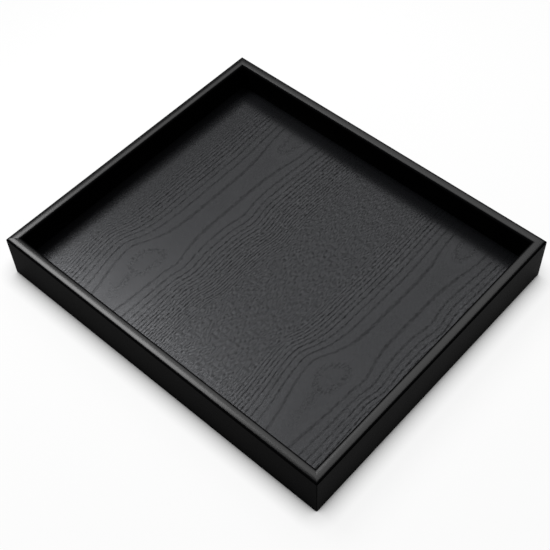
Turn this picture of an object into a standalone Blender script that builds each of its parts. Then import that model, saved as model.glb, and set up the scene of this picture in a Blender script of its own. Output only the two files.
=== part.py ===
"""Serving tray: four mitred rails round a veneered panel, keyed at the corners.

Metres, +Z up. The origin lies under the middle of the tray, on the surface that it
stands on. X runs along the front rail and Y from the front to the back.
"""

import math

import bmesh
import bpy
from mathutils import Matrix, Vector

# Outside of the tray
LENGTH = 0.400
DEPTH = 0.340
HEIGHT = 0.053

# Rails
RAIL_THICKNESS = 0.011
TOP_ARRIS_RADIUS = 0.0022
FOOT_ARRIS_RADIUS = 0.0008
TOP_ARRIS_STEPS = 8
FOOT_ARRIS_STEPS = 3

# Panel, a core with a veneer on each side, held in a groove all round
PANEL_LIFT = 0.0146
CORE_THICKNESS = 0.0056
VENEER_THICKNESS = 0.0006
GROOVE_DEPTH = 0.005

# Corner keys, lens-shaped loose tongues that cross each mitre
KEY_WIDTH = 0.009
KEY_TIP_WIDTH = 0.003
KEY_THICKNESS = 0.003
KEY_ARC_STEPS = 10
KEY_COVER = 0.0035
KEY_INSET = 0.0086

# Fits between the pieces
GLUE_LINE = 0.0003
PANEL_PLAY = 0.0005

# Levels and sizes that follow from the sizes above
CORE_BOTTOM = PANEL_LIFT + VENEER_THICKNESS + GLUE_LINE
FACE_BOTTOM = CORE_BOTTOM + CORE_THICKNESS + GLUE_LINE
PANEL_TOP = FACE_BOTTOM + VENEER_THICKNESS
GROOVE_BOTTOM = PANEL_LIFT - GLUE_LINE
GROOVE_TOP = PANEL_TOP + GLUE_LINE
GROOVE_FLOOR = RAIL_THICKNESS - GROOVE_DEPTH
PANEL_MARGIN = GROOVE_FLOOR + PANEL_PLAY
KEY_BOTTOM = GROOVE_TOP + KEY_COVER
KEY_TOP = HEIGHT - KEY_COVER
KEY_LENGTH = KEY_TOP - KEY_BOTTOM
KEY_MIDDLE = (KEY_TOP + KEY_BOTTOM) / 2

# Faces that meet at less than this are one rounded surface
SMOOTH_BELOW = math.radians(40)

# Colours, linear RGB
LACQUER_COLOUR = (0.010, 0.010, 0.011)
STAINED_VENEER_COLOUR = (0.018, 0.018, 0.020)
CORE_COLOUR = (0.30, 0.21, 0.13)
KEY_COLOUR = (0.56, 0.40, 0.25)

# Compass of the corners: side along X, side along Y
CORNERS = {
    "front_left": (-1, -1),
    "front_right": (1, -1),
    "back_right": (1, 1),
    "back_left": (-1, 1),
}


def clear_scene():
    for obj in list(bpy.data.objects):
        bpy.data.objects.remove(obj)


def make_material(name, colour, roughness):
    material = bpy.data.materials.new(name)
    material.use_nodes = True
    shader = material.node_tree.nodes["Principled BSDF"]
    shader.inputs["Base Color"].default_value = (*colour, 1.0)
    shader.inputs["Roughness"].default_value = roughness
    shader.inputs["Metallic"].default_value = 0.0
    return material


def make_object(name, bm, material=None):
    bmesh.ops.recalc_face_normals(bm, faces=bm.faces)
    mesh = bpy.data.meshes.new(name)
    bm.to_mesh(mesh)
    bm.free()
    obj = bpy.data.objects.new(name, mesh)
    bpy.context.scene.collection.objects.link(obj)
    if material:
        mesh.materials.append(material)
    return obj


def arc(centre, radius, start, end, steps):
    """Points on an arc from one angle to another, in degrees."""
    points = []
    for i in range(steps + 1):
        angle = math.radians(start + (end - start) * i / steps)
        points.append((centre[0] + radius * math.cos(angle), centre[1] + radius * math.sin(angle)))
    return points


def rail_section():
    """Outline of a rail across its run, as (distance in from the outer face, height)."""
    foot, top = FOOT_ARRIS_RADIUS, TOP_ARRIS_RADIUS
    inner_foot = RAIL_THICKNESS - foot
    inner_top = RAIL_THICKNESS - top
    groove = [
        (RAIL_THICKNESS, GROOVE_BOTTOM),
        (GROOVE_FLOOR, GROOVE_BOTTOM),
        (GROOVE_FLOOR, GROOVE_TOP),
        (RAIL_THICKNESS, GROOVE_TOP),
    ]
    return [
        *arc((foot, foot), foot, 180, 270, FOOT_ARRIS_STEPS),
        *arc((inner_foot, foot), foot, 270, 360, FOOT_ARRIS_STEPS),
        *groove,
        *arc((inner_top, HEIGHT - top), top, 0, 90, TOP_ARRIS_STEPS),
        *arc((top, HEIGHT - top), top, 90, 180, TOP_ARRIS_STEPS),
    ]


def mitred_rail_mesh(run):
    """A rail along X with its outer face at Y = 0, cut at 45 degrees at both ends."""
    bm = bmesh.new()
    end_cut = GLUE_LINE / math.sqrt(2)
    ends = []
    for side in (-1, 1):
        loop = []
        for inward, height in rail_section():
            reach = run / 2 - inward - end_cut
            loop.append(bm.verts.new((side * reach, inward, height)))
        ends.append(loop)
    count = len(ends[0])
    for i in range(count):
        after = (i + 1) % count
        bm.faces.new((ends[0][i], ends[0][after], ends[1][after], ends[1][i]))
    bm.faces.new(ends[0])
    bm.faces.new(ends[1])
    return bm


def key_outline(clearance):
    """A lens with cut tips, as (across the mitre, height from its middle)."""
    half_length = KEY_LENGTH / 2 + clearance
    half_width = KEY_WIDTH / 2 + clearance
    half_tip = KEY_TIP_WIDTH / 2 + clearance
    bulge = half_width - half_tip
    radius = (half_length**2 + bulge**2) / (2 * bulge)
    sweep = math.degrees(math.asin(half_length / radius))
    right = arc((half_width - radius, 0), radius, -sweep, sweep, KEY_ARC_STEPS)
    left = arc((radius - half_width, 0), radius, 180 - sweep, 180 + sweep, KEY_ARC_STEPS)
    return right + left


def key_mesh(clearance):
    """A key, or the slot that it fits, centred on its own middle, its thickness along Y."""
    bm = bmesh.new()
    half_thickness = KEY_THICKNESS / 2 + clearance
    outline = key_outline(clearance)
    face = bm.faces.new([bm.verts.new((across, -half_thickness, up)) for across, up in outline])
    grown = bmesh.ops.extrude_face_region(bm, geom=[face])
    moved = [item for item in grown["geom"] if isinstance(item, bmesh.types.BMVert)]
    bmesh.ops.translate(bm, verts=moved, vec=(0, 2 * half_thickness, 0))
    return bm


def key_placement(side_x, side_y):
    """Where a corner's key stands: on the mitre, set in from the outer corner."""
    corner = Vector((side_x * LENGTH / 2, side_y * DEPTH / 2, KEY_MIDDLE))
    inward = Vector((-side_x, -side_y, 0)).normalized()
    turn = math.atan2(inward.y, inward.x) - math.radians(90)
    return Matrix.Translation(corner + inward * KEY_INSET) @ Matrix.Rotation(turn, 4, "Z")


def add_key_slots():
    """Cutters for the slots, one at each corner, which both rails there share."""
    slots = {}
    for corner, sides in CORNERS.items():
        slot = make_object("slot_" + corner, key_mesh(GLUE_LINE))
        slot.matrix_world = key_placement(*sides)
        slot.hide_render = True
        slot.display_type = "WIRE"
        slots[corner] = slot
    return slots


def add_keys(material):
    for corner, sides in CORNERS.items():
        key = make_object("corner_key_" + corner, key_mesh(0), material)
        key.matrix_world = key_placement(*sides)
        key.data.shade_smooth()
        key.data.set_sharp_from_angle(angle=SMOOTH_BELOW)


def add_rail(name, run, position, turn, cutters, material):
    rail = make_object(name, mitred_rail_mesh(run), material)
    rail.location = position
    rail.rotation_euler.z = math.radians(turn)
    rail.data.shade_smooth()
    rail.data.set_sharp_from_angle(angle=SMOOTH_BELOW)
    for cutter in cutters:
        cut = rail.modifiers.new(cutter.name, "BOOLEAN")
        cut.operation = "DIFFERENCE"
        cut.solver = "EXACT"
        cut.object = cutter
    return rail


def add_rails(slots, material):
    front_left, front_right = slots["front_left"], slots["front_right"]
    back_right, back_left = slots["back_right"], slots["back_left"]
    half_x, half_y = LENGTH / 2, DEPTH / 2
    add_rail("rail_front", LENGTH, (0, -half_y, 0), 0, (front_left, front_right), material)
    add_rail("rail_right", DEPTH, (half_x, 0, 0), 90, (front_right, back_right), material)
    add_rail("rail_back", LENGTH, (0, half_y, 0), 180, (back_right, back_left), material)
    add_rail("rail_left", DEPTH, (-half_x, 0, 0), 270, (back_left, front_left), material)


def add_sheet(name, bottom, thickness, material):
    """One flat layer of the panel, its edges in the rails' grooves."""
    bm = bmesh.new()
    half_x = LENGTH / 2 - PANEL_MARGIN
    half_y = DEPTH / 2 - PANEL_MARGIN
    outline = ((-half_x, -half_y), (half_x, -half_y), (half_x, half_y), (-half_x, half_y))
    face = bm.faces.new([bm.verts.new((x, y, 0)) for x, y in outline])
    grown = bmesh.ops.extrude_face_region(bm, geom=[face])
    moved = [item for item in grown["geom"] if isinstance(item, bmesh.types.BMVert)]
    bmesh.ops.translate(bm, verts=moved, vec=(0, 0, thickness))
    sheet = make_object(name, bm, material)
    sheet.location.z = bottom
    return sheet


def add_panel():
    core = make_material("fibreboard", CORE_COLOUR, 0.8)
    veneer = make_material("black_stained_ash", STAINED_VENEER_COLOUR, 0.45)
    add_sheet("backing_veneer", PANEL_LIFT, VENEER_THICKNESS, veneer)
    add_sheet("panel_core", CORE_BOTTOM, CORE_THICKNESS, core)
    add_sheet("face_veneer", FACE_BOTTOM, VENEER_THICKNESS, veneer)


def build():
    clear_scene()
    lacquer = make_material("black_lacquered_wood", LACQUER_COLOUR, 0.35)
    beech = make_material("pressed_beech", KEY_COLOUR, 0.7)
    add_panel()
    add_rails(add_key_slots(), lacquer)
    add_keys(beech)


build()
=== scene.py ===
"""Looks of the black serving tray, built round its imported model.

Metres, +Z up, the same frame as the model. Four mitred rails and the face veneer are
rebuilt here with finer shapes, and every piece gets a procedural material.
"""

import math

import bmesh
import bpy
import numpy as np
from mathutils import Matrix, Vector


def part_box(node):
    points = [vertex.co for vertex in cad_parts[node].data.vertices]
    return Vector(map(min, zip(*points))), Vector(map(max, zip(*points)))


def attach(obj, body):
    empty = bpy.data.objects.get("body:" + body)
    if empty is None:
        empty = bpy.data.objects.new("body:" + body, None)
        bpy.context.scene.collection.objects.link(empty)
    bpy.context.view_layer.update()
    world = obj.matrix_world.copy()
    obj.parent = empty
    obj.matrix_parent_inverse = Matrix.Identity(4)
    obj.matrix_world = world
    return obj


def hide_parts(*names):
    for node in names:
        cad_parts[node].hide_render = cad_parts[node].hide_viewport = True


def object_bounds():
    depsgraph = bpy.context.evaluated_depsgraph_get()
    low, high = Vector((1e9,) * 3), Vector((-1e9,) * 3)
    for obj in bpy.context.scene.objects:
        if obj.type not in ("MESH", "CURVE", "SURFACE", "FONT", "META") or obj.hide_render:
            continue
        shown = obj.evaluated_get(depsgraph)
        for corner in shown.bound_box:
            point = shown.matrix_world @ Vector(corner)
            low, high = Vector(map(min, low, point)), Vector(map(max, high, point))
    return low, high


MM = 0.001
PER_MM = 1 / MM

CORNER_KEYS = (
    "corner_key_front_left",
    "corner_key_front_right",
    "corner_key_back_right",
    "corner_key_back_left",
)

# Rail section, round its outer face, crowned top and arrises
CROWN_RADIUS = 16 * MM
TOP_ARRIS_RADIUS = 2.2 * MM
FOOT_ARRIS_RADIUS = 0.9 * MM
CORNER_RADIUS = 0.9 * MM
GROOVE_DEPTH = 5 * MM
GLUE_LINE = 0.3 * MM
MITRE_GAP = 0.01 * MM
WELD_BELOW = 0.001 * MM
CROWN_STEPS = 14
ARRIS_STEPS = 10
FOOT_STEPS = 4
CORNER_STEPS = 4
MITRE_TURN = math.radians(45)
KEY_SLOT_GROWTH = 1.06
SHARP_ABOVE = math.radians(35)

# Noise in the materials: its features per mm on each axis, and how fine and rough it is
FIBRES_ALONG_X = {"per_mm": (0.02, 0.9, 0.9), "detail": 3.0, "roughness": 0.6}
FIBRES_ALONG_Y = {"per_mm": (0.9, 0.02, 0.9), "detail": 3.0, "roughness": 0.6}
PEEL = {"per_mm": (0.55, 0.55, 0.55)}
CLOUD = {"per_mm": (0.03, 0.03, 0.03)}
DRIFT = {"per_mm": (0.45, 0.17, 0.0), "roughness": 0.6}
BEADS = {"per_mm": (0.6, 0.17, 0.0), "start": (7.0, 3.0, 0.0), "roughness": 0.6}
DASHES = {"per_mm": (0.45, 0.30, 0.0), "start": (2.0, 9.0, 0.0), "roughness": 0.6}
MOTTLE = {"per_mm": (1.0, 0.09, 0.0), "start": (1.0, 5.0, 0.0), "detail": 3.0, "roughness": 0.65}
PORES = {"per_mm": (1.4, 0.28, 0.0), "roughness": 0.6}
STREAKS = {"per_mm": (0.5, 0.02, 0.0), "detail": 4.0, "roughness": 0.65, "distortion": 0.3}
BACKING_PORES = {"per_mm": (2.2, 0.2, 0.0), "roughness": 0.6}
BOARD_FIBRES = {"per_mm": (0.8, 0.8, 1.6), "detail": 5.0, "roughness": 0.7}
BEECH_FLECKS = {"per_mm": (1.8, 1.8, 0.25), "detail": 3.0, "roughness": 0.6}

# Lacquer, its gloss on the sides and on top, and the upward lean over which the top begins
LACQUER_IOR = 1.40
SIDE_GLOSS = 0.003
TOP_GLOSS = 0.5
POLISHED_FROM = (0.960, 0.990)
LACQUER_DEEP = (0.0025, 0.0025, 0.0027)
LACQUER_PALE = (0.0045, 0.0045, 0.0048)
LACQUER_CLOUD = (0.6, 1.4)
LACQUER_ROUGHNESS = (0.22, 0.29)
PEEL_HEIGHT = 0.0015 * MM
FIBRE_HEIGHT = 0.0012 * MM

# Face veneer sheet and its stain, from the pale ground to the deepest line
VENEER_CELL = 1.5 * MM
VENEER_SWELL = 0.015 * MM
VENEER_SWELL_REACH = (26.0, 60.0)
VENEER_SEED = 5
PALE_STAIN = (0.0066, 0.0070, 0.0082)
DEEP_STAIN = (0.0010, 0.0010, 0.0012)
PALE_ROUGHNESS = 0.19
DEEP_ROUGHNESS = 0.37
PALE_GLOSS = 0.63
DEEP_GLOSS = 0.10
GLOSS_TINT = (0.945, 0.957, 1.0)
DEEP_SINK = -2.0
DEEP_SINK_HEIGHT = 0.02 * MM

# How the noise becomes lines and flecks: ranges that are read, and depths of darkness
DARK_RANGE = (-0.8, 1.2)
LINE_EDGE = (0.25, 1.9)
LINE_DEPTH = 1.15
LINE_SHARE = 1.5
BEAD_RANGE = (0.32, 0.66)
BEAD_STRENGTH = (0.25, 1.15)
DASH_EDGE = (0.42, 0.58)
DRIFT_RANGE = (0.25, 0.75)
JAGGEDNESS = 0.9
STEADY_ABOVE = 0.07
FLECK_RANGE = (0.35, 0.65)
FLECK_DEPTH = 0.76
MOTTLE_DEPTH = 0.7
PORE_DEPTH = 2.1
STRIPES_PER_RING = 3.6
STRIPES_PER_MM = (0.0, 0.035, 0.0)
STRIPE_RANGE = (0.3, 0.7)
STRIPE_DEPTH = 1.1
EVEN_SWING = (-0.5, 0.5)

# Growth rings of the veneer leaf, in mm from the tray's front left outer corner
LEAF_PITCH = 225.6
LEAF_RISE = 16.5
RING_AXIS = 109.8
RING_SPREAD = 460.0
RING_START = 0.285
RING_WAVERS = ((0.4, 30.0, 45.0), (0.15, 9.0, 14.0))
EYE_HEIGHT = 87.0
EYE_DEPTH = 0.955
EYE_REACH = (55.0, 30.0)
EYE_BELOW = -0.6
SWAY_HEIGHT = 84.0
SWAY_SHIFT = -6.2
SWAY_REACH = (50.0, 17.0)
EYE_CLOSE_HEIGHT = 58.0
EYE_CLOSE_RISE = 0.26
EYE_CLOSE_REACH = (9.0, 14.0)
TAIL_HEIGHT = 60.0
TAIL_WIDTH = 4.2
TAIL_REACH = (24.0, 7.0)
TAIL_DEPTH = 0.45
FORK_DEPTH = 0.55
FORK_RISE = (225.0, 325.0)
FORK_CORE_DEPTH = 0.45
FORK_CORE_RISE = (262.0, 290.0)
FORK_CORE_WIDTH = 16.0
FORK_LEAF_SHIFT = 12.0
KINK_HEIGHT = 192.0
KINK_REACH = 17.0
KINK_SHIFT = 3.7
KINK_FROM = (10.0, 24.0)
CROWDING = 1.6
CROWDING_FROM = (36.0, 84.0)

# Width and clearness of the rings, and where the pores between them open
LEAST_SLOPE = 0.02
RING_WIDTHS = (0.45, 1.6)
RING_WIDENING = 0.06
EYE_WIDTH = 1.9
EYE_CLEARNESS = 0.85
SPARSE_CLEARNESS = 0.62
SPARSE_SLOPES = (0.08, 0.22)
FADE_LEFT = (52.0, 74.0)
FADE_RIGHT = (74.0, 94.0)
PORES_FROM = (12.0, 66.0)
PORES_LEAST = 0.22
CALM_EDGE = 0.38
CALM_EDGE_REACH = (42.0, 66.0)

# Backing veneer
BACKING_PALE = (0.027, 0.027, 0.028)
BACKING_DEEP = (0.014, 0.014, 0.015)
BACKING_PORE = (0.009, 0.009, 0.009)
BACKING_PORE_EDGE = (0.52, 0.7)
BACKING_ROUGHNESS = (0.5, 0.6)
BACKING_IOR = 1.3
BACKING_PORE_HEIGHT = 0.03 * MM

# Core board and corner keys
BOARD_DEEP = (0.24, 0.165, 0.10)
BOARD_PALE = (0.36, 0.26, 0.165)
BOARD_ROUGHNESS = (0.75, 0.9)
BOARD_HEIGHT = 0.04 * MM
BEECH_DEEP = (0.42, 0.28, 0.16)
BEECH_PALE = (0.62, 0.46, 0.30)
BEECH_ROUGHNESS = (0.6, 0.75)
BEECH_HEIGHT = 0.03 * MM
WOOD_RANGE = (0.3, 0.7)

# Camera, at the photograph's viewing angle
EYE = Vector((0.4699, -0.4905, 0.9078))
AIM = Vector((0.0290, -0.0311, 0.0530))
LENS = 73.83
SENSOR = 36.0
ROLL = math.radians(-2.48)
CLIP_START = 0.01
CLIP_END = 50.0

# Lamps over the tray: how far right and back each stands and how wide it is, as shares of
# its height, then its height and the brightness it gives a white sheet at the origin
WINDOW = ((-0.71, 0.02), (0.33, 0.25), 1.60, 0.49)
WIDE_LAMP = ((-0.29, 0.42), (0.54, 0.36), 1.60, 0.32)
FAR_LAMP = ((-0.36, 1.00), (0.50, 0.48), 1.60, 0.10)
WORLD_LEVEL = 0.03

# Floor: its colour near the tray, its glow to camera, mirror and glass rays near the tray
# and far off, the distances from the middle between the two, and its painted contact shadow
FLOOR_COLOUR = 0.11
FLOOR_GLOW = 0.89
BACKDROP_GLOW = 0.98
GLOW_FROM = 0.30
GLOW_TO = 0.60
SHADE_REACH = 21 * MM
SHADE_DARKEST = 0.485
SHADE_CURVE = 0.43
SHADE_SAMPLES = 16
BACKDROP_FLAT = 4.0
BACKDROP_CURVE = 2.0
BACKDROP_SIDES = 96
BACKDROP_STEPS = 16
FLOOR_RING_SHARES = (0.1, 0.4, 0.7)


def smoothstep(low, high, value):
    t = np.clip((value - low) / (high - low), 0.0, 1.0)
    return t * t * (3 - 2 * t)


def bell(value, centre, reach):
    return np.exp(-(((value - centre) / reach) ** 2))


def uneven_bell(value, centre, reach):
    """A bell whose reach below its centre differs from its reach above it."""
    return bell(value, centre, np.where(value < centre, reach[0], reach[1]))


def arc(centre, radius, start, end, steps):
    """Points on an arc from one angle to another, in degrees."""
    points = []
    for i in range(steps + 1):
        angle = math.radians(start + (end - start) * i / steps)
        points.append((centre[0] + radius * math.cos(angle), centre[1] + radius * math.sin(angle)))
    return points


def link_mesh(name, mesh):
    obj = bpy.data.objects.new(name, mesh)
    bpy.context.scene.collection.objects.link(obj)
    return obj


class Shader:
    """Builds one procedural material, a node at a time."""

    def __init__(self, name):
        self.material = bpy.data.materials.new(name)
        self.material.use_nodes = True
        self.tree = self.material.node_tree
        self.surface = self.tree.nodes["Principled BSDF"]

    def put(self, socket, value):
        if isinstance(value, bpy.types.NodeSocket):
            self.tree.links.new(value, socket)
        else:
            socket.default_value = value

    def set(self, name, value):
        self.put(self.surface.inputs[name], value)

    def node(self, kind, **settings):
        made = self.tree.nodes.new(kind)
        for key, value in settings.items():
            setattr(made, key, value)
        return made

    def math(self, operation, *values):
        made = self.node("ShaderNodeMath", operation=operation)
        for socket, value in zip(made.inputs, values):
            self.put(socket, value)
        return made.outputs[0]

    def scaled(self, per_mm, start=(0.0, 0.0, 0.0)):
        """The place on the object, counted in features per mm on each axis."""
        place = self.node("ShaderNodeTexCoord").outputs["Object"]
        made = self.node("ShaderNodeMapping")
        self.put(made.inputs["Vector"], place)
        made.inputs["Scale"].default_value = [count * PER_MM for count in per_mm]
        made.inputs["Location"].default_value = start
        return made.outputs["Vector"]

    def noise(self, per_mm, start=(0.0, 0.0, 0.0), **settings):
        return self.noise_at(self.scaled(per_mm, start), **settings)

    def noise_at(self, vector, detail=2.0, roughness=0.5, distortion=0.0):
        made = self.node("ShaderNodeTexNoise")
        self.put(made.inputs["Vector"], vector)
        made.inputs["Scale"].default_value = 1.0
        made.inputs["Detail"].default_value = detail
        made.inputs["Roughness"].default_value = roughness
        made.inputs["Distortion"].default_value = distortion
        return made.outputs["Fac"]

    def remap(self, value, from_low, from_high, to_low, to_high, smooth=False):
        made = self.node("ShaderNodeMapRange")
        if smooth:
            made.interpolation_type = "SMOOTHSTEP"
        for name, given in (
            ("Value", value),
            ("From Min", from_low),
            ("From Max", from_high),
            ("To Min", to_low),
            ("To Max", to_high),
        ):
            self.put(made.inputs[name], given)
        return made.outputs["Result"]

    def mix(self, factor, first, second):
        made = self.node("ShaderNodeMix", data_type="RGBA")
        self.put(made.inputs["Factor"], factor)
        for name, value in (("A", first), ("B", second)):
            socket = [s for s in made.inputs if s.name == name and s.type == "RGBA"][0]
            self.put(socket, value if isinstance(value, bpy.types.NodeSocket) else (*value, 1.0))
        return [s for s in made.outputs if s.type == "RGBA"][0]

    def split(self, vector):
        made = self.node("ShaderNodeSeparateXYZ")
        self.put(made.inputs[0], vector)
        return made.outputs

    def bump(self, height, distance, normal=None):
        made = self.node("ShaderNodeBump")
        self.put(made.inputs["Height"], height)
        made.inputs["Distance"].default_value = distance
        made.inputs["Strength"].default_value = 1.0
        if normal is not None:
            self.put(made.inputs["Normal"], normal)
        return made.outputs["Normal"]

    def attribute(self, name):
        return self.node("ShaderNodeAttribute", attribute_name=name).outputs["Fac"]


def lacquer_material(name, fibre_noise):
    """Deep black lacquer over wood, dull on the sides and arrises and polished on top."""
    shader = Shader(name)
    fibres = shader.noise(**fibre_noise)
    peel = shader.noise(**PEEL)
    cloud = shader.math("ADD", shader.noise(**CLOUD), peel)
    shader.set("Base Color", shader.mix(fibres, LACQUER_DEEP, LACQUER_PALE))
    shader.set("Roughness", shader.remap(cloud, *LACQUER_CLOUD, *LACQUER_ROUGHNESS))
    shader.set("IOR", LACQUER_IOR)
    lean = shader.split(shader.node("ShaderNodeNewGeometry").outputs["Normal"])
    gloss = shader.remap(lean["Z"], *POLISHED_FROM, SIDE_GLOSS, TOP_GLOSS, smooth=True)
    shader.set("Specular IOR Level", gloss)
    normal = shader.bump(peel, PEEL_HEIGHT)
    shader.set("Normal", shader.bump(fibres, FIBRE_HEIGHT, normal))
    return shader.material


def wavering_level(shader, slope):
    """The stored ring level, jogged a little so that no ring runs too evenly."""
    drift = shader.remap(shader.noise(**DRIFT), *DRIFT_RANGE, -JAGGEDNESS, JAGGEDNESS)
    jog = shader.math("MULTIPLY", drift, shader.math("MINIMUM", slope, STEADY_ABOVE))
    return shader.math("ADD", shader.attribute("ring_level"), jog)


def ring_lines(shader, level, slope, width, dashes):
    """Darkness of the ring lines, beaded all along and broken into dashes round the eye.

    Its mean is taken off, so that crowded rings don't darken the sheet as a whole.
    """
    offset = shader.math("ABSOLUTE", shader.math("SUBTRACT", level, shader.math("ROUND", level)))
    reach = shader.math("DIVIDE", shader.math("DIVIDE", offset, slope), width)
    line = shader.remap(reach, *LINE_EDGE, 1.0, 0.0, smooth=True)
    beads = shader.remap(shader.noise(**BEADS), *BEAD_RANGE, *BEAD_STRENGTH)
    gaps = shader.remap(shader.attribute("eye_share"), 0.0, 1.0, 1.0, dashes)
    line = shader.math("MULTIPLY", line, shader.math("MULTIPLY", beads, gaps))
    mean = shader.math("MULTIPLY", shader.math("MULTIPLY", slope, width), LINE_SHARE)
    return shader.math("SUBTRACT", line, mean)


def ring_stripes(shader, level):
    """Faint stripes that follow the rings, several to a ring."""
    flow = shader.node("ShaderNodeCombineXYZ")
    shader.put(flow.inputs["X"], shader.math("MULTIPLY", level, STRIPES_PER_RING))
    shader.put(flow.inputs["Y"], shader.split(shader.scaled(STRIPES_PER_MM))["Y"])
    stripes = shader.noise_at(flow.outputs[0], roughness=0.6)
    return shader.remap(stripes, *STRIPE_RANGE, *EVEN_SWING)


def pore_flecks(shader, stripes, porous):
    """Mottle, open pores and stripes, as strong as the leaf is porous."""
    mottle = shader.remap(shader.noise(**MOTTLE), *FLECK_RANGE, *EVEN_SWING)
    pores = shader.remap(shader.noise(**PORES), *FLECK_RANGE, *EVEN_SWING)
    mottle = shader.math("MULTIPLY", mottle, MOTTLE_DEPTH)
    fleck = shader.math("ADD", mottle, shader.math("MULTIPLY", pores, PORE_DEPTH))
    fleck = shader.math("ADD", fleck, shader.math("MULTIPLY", stripes, STRIPE_DEPTH))
    return shader.math("MULTIPLY", shader.math("MULTIPLY", fleck, porous), FLECK_DEPTH)


def face_veneer_material():
    """Black-stained ash: broken rings over a satin sheet, striped and mottled with pores."""
    shader = Shader("black_stained_ash")
    slope = shader.attribute("ring_slope")
    width = shader.attribute("ring_width")
    clear = shader.attribute("ring_clear")
    porous = shader.attribute("pore_share")
    level = wavering_level(shader, slope)
    dashes = shader.remap(shader.noise(**DASHES), *DASH_EDGE, 0.0, 1.0, smooth=True)
    line = shader.math("MULTIPLY", ring_lines(shader, level, slope, width, dashes), clear)
    tail = shader.math("MULTIPLY", shader.attribute("tail_share"), dashes)
    stripes = shader.math("MULTIPLY", ring_stripes(shader, level), clear)
    fleck = pore_flecks(shader, stripes, porous)
    dark = shader.math("ADD", shader.math("MULTIPLY", line, LINE_DEPTH), fleck)
    dark = shader.math("ADD", dark, shader.math("MULTIPLY", tail, TAIL_DEPTH))
    dark = shader.remap(dark, *DARK_RANGE, 0.0, 1.0)
    shader.set("Base Color", shader.mix(dark, PALE_STAIN, DEEP_STAIN))
    shader.set("Roughness", shader.remap(dark, 0.0, 1.0, PALE_ROUGHNESS, DEEP_ROUGHNESS))
    shader.set("IOR", LACQUER_IOR)
    shader.set("Specular IOR Level", shader.remap(dark, 0.0, 1.0, PALE_GLOSS, DEEP_GLOSS))
    shader.set("Specular Tint", (*GLOSS_TINT, 1.0))
    hollow = shader.math("MULTIPLY", dark, DEEP_SINK)
    shader.set("Normal", shader.bump(hollow, DEEP_SINK_HEIGHT))
    return shader.material


def backing_veneer_material():
    """Plain straight-grained stained veneer on the underside."""
    shader = Shader("black_stained_backing")
    streaks = shader.noise(**STREAKS)
    pores = shader.remap(shader.noise(**BACKING_PORES), *BACKING_PORE_EDGE, 0.0, 1.0, smooth=True)
    ground = shader.mix(streaks, BACKING_DEEP, BACKING_PALE)
    shader.set("Base Color", shader.mix(pores, ground, BACKING_PORE))
    shader.set("Roughness", shader.remap(streaks, *WOOD_RANGE, *BACKING_ROUGHNESS))
    shader.set("IOR", BACKING_IOR)
    hollow = shader.math("MULTIPLY", pores, -1.0)
    shader.set("Normal", shader.bump(hollow, BACKING_PORE_HEIGHT))
    return shader.material


def core_material():
    """Fibreboard between the veneers."""
    shader = Shader("fibreboard")
    fibres = shader.noise(**BOARD_FIBRES)
    shader.set("Base Color", shader.mix(fibres, BOARD_DEEP, BOARD_PALE))
    shader.set("Roughness", shader.remap(fibres, *WOOD_RANGE, *BOARD_ROUGHNESS))
    shader.set("Normal", shader.bump(fibres, BOARD_HEIGHT))
    return shader.material


def beech_material():
    """Pressed beech of the corner keys, with its short dark flecks."""
    shader = Shader("pressed_beech")
    flecks = shader.noise(**BEECH_FLECKS)
    shader.set("Base Color", shader.mix(flecks, BEECH_DEEP, BEECH_PALE))
    shader.set("Roughness", shader.remap(flecks, *WOOD_RANGE, *BEECH_ROUGHNESS))
    shader.set("Normal", shader.bump(flecks, BEECH_HEIGHT))
    return shader.material


def rail_section(thickness, height, groove_bottom, groove_top):
    """Outline of a rail across its run, as (distance in from the outer face, height)."""
    foot = FOOT_ARRIS_RADIUS
    middle = thickness / 2
    crown_reach = (middle - TOP_ARRIS_RADIUS) / (1 - TOP_ARRIS_RADIUS / CROWN_RADIUS)
    tilt = math.degrees(math.asin(crown_reach / CROWN_RADIUS))
    crown_centre = (middle, height - CROWN_RADIUS)
    reach = crown_reach * (1 - TOP_ARRIS_RADIUS / CROWN_RADIUS)
    drop = (CROWN_RADIUS - TOP_ARRIS_RADIUS) * math.cos(math.radians(tilt))
    inner = (middle + reach, crown_centre[1] + drop)
    outer = (middle - reach, crown_centre[1] + drop)
    floor = thickness - GROOVE_DEPTH
    return [
        *arc((foot, foot), foot, 180, 270, FOOT_STEPS),
        *arc((thickness - foot, foot), foot, 270, 360, FOOT_STEPS),
        (thickness, groove_bottom),
        (floor, groove_bottom),
        (floor, groove_top),
        (thickness, groove_top),
        *arc(inner, TOP_ARRIS_RADIUS, 0, 90 - tilt, ARRIS_STEPS),
        *arc(crown_centre, CROWN_RADIUS, 90 - tilt, 90 + tilt, CROWN_STEPS)[1:-1],
        *arc(outer, TOP_ARRIS_RADIUS, 90 + tilt, 180, ARRIS_STEPS),
    ]


def corner_place(run, inward, turn):
    """A point of the rail's plan near its right end, on the rounded outer corner."""
    radius = max(CORNER_RADIUS - inward, 0.0)
    pivot = max(CORNER_RADIUS, inward)
    reach = run / 2 - pivot + radius * math.sin(turn)
    depth = pivot - radius * math.cos(turn)
    return reach - MITRE_GAP, depth


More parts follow.
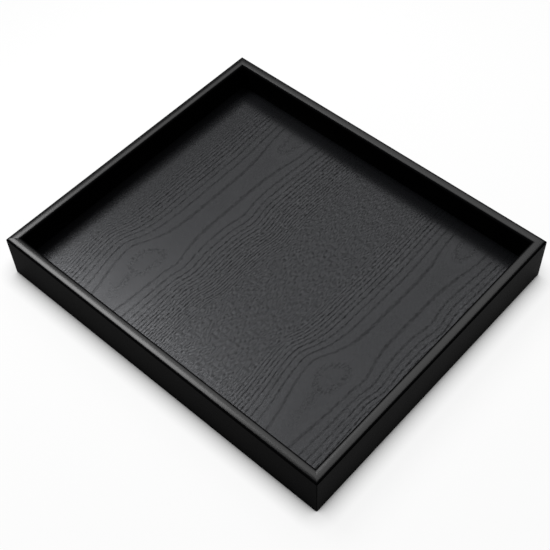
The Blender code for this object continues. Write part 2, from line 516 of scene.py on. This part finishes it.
def rail_mesh(name, run, section):
    """A rail along X with its outer face at Y = 0, mitred at both ends."""
    bm = bmesh.new()
    turns = [MITRE_TURN * i / CORNER_STEPS for i in range(CORNER_STEPS + 1)]
    stations = [(-1, turn) for turn in reversed(turns)] + [(1, turn) for turn in turns]
    loops = []
    for side, turn in stations:
        loop = []
        for inward, height in section:
            reach, depth = corner_place(run, inward, turn)
            loop.append(bm.verts.new((side * reach, depth, height)))
        loops.append(loop)
    count = len(section)
    for first, second in zip(loops, loops[1:]):
        for i in range(count):
            after = (i + 1) % count
            bm.faces.new((first[i], first[after], second[after], second[i]))
    bm.faces.new(loops[0])
    bm.faces.new(loops[-1])
    bmesh.ops.remove_doubles(bm, verts=bm.verts, dist=WELD_BELOW)
    bmesh.ops.dissolve_degenerate(bm, edges=bm.edges, dist=WELD_BELOW)
    bmesh.ops.recalc_face_normals(bm, faces=bm.faces)
    mesh = bpy.data.meshes.new(name)
    bm.to_mesh(mesh)
    bm.free()
    return mesh


def cut_key_slots(rail):
    """Cuts the slot of each corner key that reaches into this rail."""
    cutters = []
    for corner in CORNER_KEYS:
        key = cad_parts[corner]
        low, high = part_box(corner)
        centre = (low + high) / 2
        mesh = key.data.copy()
        grow = Matrix.Translation(centre) @ Matrix.Scale(KEY_SLOT_GROWTH, 4)
        mesh.transform(grow @ Matrix.Translation(-centre))
        cutter = link_mesh("slot_cutter", mesh)
        cut = rail.modifiers.new("slot", "BOOLEAN")
        cut.operation = "DIFFERENCE"
        cut.solver = "EXACT"
        cut.object = cutter
        cutters.append(cutter)
    shown = rail.evaluated_get(bpy.context.evaluated_depsgraph_get())
    cut_mesh = bpy.data.meshes.new_from_object(shown)
    rail.modifiers.clear()
    rail.data = cut_mesh
    for cutter in cutters:
        bpy.data.objects.remove(cutter)


def add_rail(node, run, position, turn, section, material):
    rail = link_mesh("finished_" + node, rail_mesh(node, run, section))
    place = Matrix.Translation(position) @ Matrix.Rotation(math.radians(turn), 4, "Z")
    rail.data.transform(place)
    cut_key_slots(rail)
    rail.data.materials.clear()
    rail.data.materials.append(material)
    rail.data.shade_smooth()
    rail.data.set_sharp_from_angle(angle=SHARP_ABOVE)
    weigh = rail.modifiers.new("even_normals", "WEIGHTED_NORMAL")
    weigh.keep_sharp = True
    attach(rail, "root")
    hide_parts(node)


def add_rails():
    low, high = cad_box
    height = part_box("rail_front")[1].z
    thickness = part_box("rail_right")[1].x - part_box("rail_right")[0].x
    groove_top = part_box("face_veneer")[1].z + GLUE_LINE
    groove_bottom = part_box("backing_veneer")[0].z - GLUE_LINE
    section = rail_section(thickness, height, groove_bottom, groove_top)
    along_x = lacquer_material("black_lacquer_long", FIBRES_ALONG_X)
    along_y = lacquer_material("black_lacquer_short", FIBRES_ALONG_Y)
    length = high[0] - low[0]
    depth = high[1] - low[1]
    half_x = length / 2
    half_y = depth / 2
    add_rail("rail_front", length, (0, -half_y, 0), 0, section, along_x)
    add_rail("rail_right", depth, (half_x, 0, 0), 90, section, along_y)
    add_rail("rail_back", length, (0, half_y, 0), 180, section, along_x)
    add_rail("rail_left", depth, (-half_x, 0, 0), 270, section, along_y)


def ring_levels(x, y):
    """Growth-ring level at a point in mm, how far across its leaf the point lies, and
    how deep in the dashed tail below its eye.

    A dark ring runs wherever the level is a whole number. The leaf is laid twice,
    side by side, and the second stands a little higher.
    """
    leaf = (x > RING_AXIS + LEAF_PITCH / 2).astype(float)
    up = y - leaf * LEAF_RISE
    across = x - leaf * LEAF_PITCH - RING_AXIS
    sway = SWAY_SHIFT * uneven_bell(up, SWAY_HEIGHT, SWAY_REACH)
    kink = KINK_SHIFT * bell(up, KINK_HEIGHT, KINK_REACH) * smoothstep(*KINK_FROM, across)
    across = across - sway - kink
    level = across**2 / RING_SPREAD - RING_START
    level -= EYE_DEPTH * uneven_bell(up, EYE_HEIGHT, EYE_REACH)
    closing = bell(across, 0.0, EYE_CLOSE_REACH[0]) * bell(up, EYE_CLOSE_HEIGHT, EYE_CLOSE_REACH[1])
    level += EYE_CLOSE_RISE * closing
    level += CROWDING * smoothstep(*CROWDING_FROM, np.abs(across))
    rise = up + leaf * FORK_LEAF_SHIFT
    level -= FORK_DEPTH * smoothstep(*FORK_RISE, rise)
    core = bell(across, 0.0, FORK_CORE_WIDTH)
    level -= FORK_CORE_DEPTH * smoothstep(*FORK_CORE_RISE, rise) * core
    tail = bell(across, 0.0, TAIL_WIDTH) * uneven_bell(up, TAIL_HEIGHT, TAIL_REACH)
    return level, across, tail


def wander(rng, x, y, reach_x, reach_y):
    """Smooth random drift between -1 and 1 over a sheet, in mm."""
    columns = int(x.max() / reach_x) + 3
    rows = int(y.max() / reach_y) + 3
    lattice = rng.uniform(-1, 1, (rows, columns))
    cx = x / reach_x
    cy = y / reach_y
    ix = np.floor(cx).astype(int)
    iy = np.floor(cy).astype(int)
    fx = smoothstep(0, 1, cx - ix)
    fy = smoothstep(0, 1, cy - iy)
    low = lattice[iy, ix] * (1 - fx) + lattice[iy, ix + 1] * fx
    high = lattice[iy + 1, ix] * (1 - fx) + lattice[iy + 1, ix + 1] * fx
    return low * (1 - fy) + high * fy


def ring_attributes(rng, x, y, xs, ys):
    """What the veneer's material reads at each point of the sheet, by name."""
    drift_x = sum(size * wander(rng, x, y, *reach) for size, *reach in RING_WAVERS)
    level, across, tail = ring_levels(x + drift_x, y)
    slope_y, slope_x = np.gradient(level, ys, xs)
    slope = np.maximum(np.hypot(slope_x, slope_y), LEAST_SLOPE)
    width = np.minimum(RING_WIDTHS[0] + RING_WIDENING / slope, RING_WIDTHS[1])
    clear = 1 - smoothstep(*FADE_RIGHT, across) - smoothstep(*FADE_LEFT, -across)
    in_eye = level < EYE_BELOW
    width = np.where(in_eye, width * EYE_WIDTH, width)
    clear *= SPARSE_CLEARNESS + (1 - SPARSE_CLEARNESS) * smoothstep(*SPARSE_SLOPES, slope)
    clear *= np.where(in_eye, EYE_CLEARNESS, 1.0)
    porous = PORES_LEAST + (1 - PORES_LEAST) * smoothstep(*PORES_FROM, np.abs(across))
    porous *= 1 - CALM_EDGE * (1 - smoothstep(*CALM_EDGE_REACH, x))
    return {
        "ring_level": level,
        "ring_slope": slope,
        "ring_width": width,
        "ring_clear": clear,
        "pore_share": porous,
        "eye_share": in_eye.astype(float),
        "tail_share": tail,
    }


def sheet_mesh(name, x, y, top, bottom):
    """A closed sheet with a grid on top, and the grid's rim as indices."""
    rows, columns = x.shape
    vertices = np.stack([x, y, top], -1).reshape(-1, 3).tolist()
    index = np.arange(rows * columns).reshape(rows, columns)
    rim = np.concatenate([index[0, :-1], index[:-1, -1], index[-1, :0:-1], index[:0:-1, 0]])
    start = len(vertices)
    vertices.extend([vertices[i][0], vertices[i][1], bottom] for i in rim)
    corners = (index[:-1, :-1], index[:-1, 1:], index[1:, 1:], index[1:, :-1])
    faces = np.stack(corners, -1).reshape(-1, 4).tolist()
    count = len(rim)
    for i in range(count):
        after = (i + 1) % count
        faces.append([int(rim[after]), int(rim[i]), start + i, start + after])
    faces.append([start + i for i in reversed(range(count))])
    mesh = bpy.data.meshes.new(name)
    mesh.from_pydata(vertices, [], faces)
    return mesh, rim


def add_face_veneer():
    low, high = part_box("face_veneer")
    outer = cad_box[0]
    columns = round((high.x - low.x) / VENEER_CELL) + 1
    rows = round((high.y - low.y) / VENEER_CELL) + 1
    xs = np.linspace(low.x, high.x, columns)
    ys = np.linspace(low.y, high.y, rows)
    grid_x, grid_y = np.meshgrid(xs, ys)
    x = (grid_x - outer[0]) / MM
    y = (grid_y - outer[1]) / MM
    rng = np.random.default_rng(VENEER_SEED)
    attributes = ring_attributes(rng, x, y, xs / MM, ys / MM)
    swell = wander(rng, x, y, *VENEER_SWELL_REACH)
    top = high.z - VENEER_SWELL * (1 + swell) / 2
    mesh, rim = sheet_mesh("face_veneer", grid_x, grid_y, top, low.z)
    for name, values in attributes.items():
        stored = mesh.attributes.new(name, "FLOAT", "POINT")
        on_top = values.reshape(-1)
        stored.data.foreach_set("value", np.concatenate([on_top, on_top[rim]]))
    mesh.materials.append(face_veneer_material())
    mesh.shade_smooth()
    mesh.set_sharp_from_angle(angle=SHARP_ABOVE)
    veneer = link_mesh("finished_face_veneer", mesh)
    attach(veneer, "root")
    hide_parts("face_veneer")


def dress(node, material):
    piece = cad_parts[node]
    piece.data.materials.clear()
    piece.data.materials.append(material)


def dress_kept_pieces():
    dress("backing_veneer", backing_veneer_material())
    dress("panel_core", core_material())
    beech = beech_material()
    for corner in CORNER_KEYS:
        dress(corner, beech)


def floor_material():
    """Pale paper with a painted contact shadow: ambient occlusion darkens its colour and glow
    softly where something stands close over it.
    """
    shader = Shader("pale_floor")
    # painted shade: ambient occlusion near the tray gives the contact shadow
    shade = shader.node("ShaderNodeAmbientOcclusion")
    shade.samples = SHADE_SAMPLES
    shade.inputs["Distance"].default_value = SHADE_REACH
    open_sky = shader.remap(shade.outputs["AO"], SHADE_DARKEST, 1.0, 0.0, 1.0)
    lit = shader.math("POWER", open_sky, SHADE_CURVE)
    place = shader.node("ShaderNodeTexCoord").outputs["Object"]
    reach = shader.node("ShaderNodeVectorMath", operation="LENGTH")
    shader.put(reach.inputs[0], place)
    far = shader.remap(reach.outputs["Value"], GLOW_FROM, GLOW_TO, 0.0, 1.0, smooth=True)
    # the painted contact shadow darkens both the floor's colour and its glow
    colour = shader.math("MULTIPLY", lit, shader.remap(far, 0.0, 1.0, FLOOR_COLOUR, 0.0))
    glow = shader.math("MULTIPLY", lit, shader.remap(far, 0.0, 1.0, FLOOR_GLOW, BACKDROP_GLOW))
    grey = shader.node("ShaderNodeCombineColor")
    for channel in ("Red", "Green", "Blue"):
        shader.put(grey.inputs[channel], colour)
    shader.set("Base Color", grey.outputs["Color"])
    shader.set("Roughness", 1.0)
    shader.set("Specular IOR Level", 0.0)
    rays = shader.node("ShaderNodeLightPath").outputs
    seen = shader.math("MAXIMUM", rays["Is Camera Ray"], rays["Is Glossy Ray"])
    seen = shader.math("MAXIMUM", seen, rays["Is Transmission Ray"])
    shader.set("Emission Color", (1.0, 1.0, 1.0, 1.0))
    shader.set("Emission Strength", shader.math("MULTIPLY", seen, glow))
    return shader.material


def add_floor():
    """A round floor whose edge sweeps up into a backdrop."""
    profile = [(BACKDROP_FLAT * share, 0.0) for share in FLOOR_RING_SHARES]
    profile.extend(arc((BACKDROP_FLAT, BACKDROP_CURVE), BACKDROP_CURVE, 270, 360, BACKDROP_STEPS))
    bm = bmesh.new()
    rings = []
    for reach, height in profile:
        ring = []
        for i in range(BACKDROP_SIDES):
            turn = 2 * math.pi * i / BACKDROP_SIDES
            ring.append(bm.verts.new((reach * math.cos(turn), reach * math.sin(turn), height)))
        rings.append(ring)
    bm.faces.new(rings[0])
    for inner, outer in zip(rings, rings[1:]):
        for i in range(BACKDROP_SIDES):
            after = (i + 1) % BACKDROP_SIDES
            bm.faces.new((inner[i], outer[i], outer[after], inner[after]))
    mesh = bpy.data.meshes.new("floor")
    bm.to_mesh(mesh)
    bm.free()
    mesh.shade_smooth()
    mesh.materials.append(floor_material())
    link_mesh("floor", mesh)


def add_world():
    world = bpy.data.worlds.new("studio")
    bpy.context.scene.world = world
    world.use_nodes = True
    background = world.node_tree.nodes["Background"]
    background.inputs["Color"].default_value = (1.0, 1.0, 1.0, 1.0)
    background.inputs["Strength"].default_value = WORLD_LEVEL


def add_lamp(name, shares, widths, height, level):
    """A level rectangle over the tray, at the power that gives a white sheet its level."""
    lamp = bpy.data.lights.new(name, "AREA")
    lamp.shape = "RECTANGLE"
    lamp.size = 2 * widths[0] * height
    lamp.size_y = 2 * widths[1] * height
    slant = 1 + shares[0] ** 2 + shares[1] ** 2
    lamp.energy = level * (math.pi * height * slant) ** 2
    obj = bpy.data.objects.new(name, lamp)
    bpy.context.scene.collection.objects.link(obj)
    obj.location = (shares[0] * height, shares[1] * height, height)


def add_lamps():
    add_lamp("window", *WINDOW)
    add_lamp("wide_lamp", *WIDE_LAMP)
    add_lamp("far_lamp", *FAR_LAMP)


def add_camera():
    camera = bpy.data.cameras.new("camera")
    camera.lens = LENS
    camera.sensor_width = SENSOR
    camera.clip_start = CLIP_START
    camera.clip_end = CLIP_END
    obj = bpy.data.objects.new("camera", camera)
    bpy.context.scene.collection.objects.link(obj)
    turn = (AIM - EYE).to_track_quat("-Z", "Y").to_matrix().to_4x4()
    obj.matrix_world = Matrix.Translation(EYE) @ turn @ Matrix.Rotation(ROLL, 4, "Z")
    bpy.context.scene.camera = obj


def set_colours():
    bpy.context.scene.view_settings.view_transform = "Standard"


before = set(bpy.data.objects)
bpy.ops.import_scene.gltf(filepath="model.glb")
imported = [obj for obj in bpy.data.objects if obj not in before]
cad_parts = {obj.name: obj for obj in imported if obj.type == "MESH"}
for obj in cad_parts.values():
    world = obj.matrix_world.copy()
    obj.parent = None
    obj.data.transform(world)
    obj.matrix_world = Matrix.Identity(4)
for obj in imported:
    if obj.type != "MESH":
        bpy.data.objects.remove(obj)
cad_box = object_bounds()
add_rails()
add_face_veneer()
dress_kept_pieces()
add_floor()
add_world()
add_lamps()
add_camera()
set_colours()
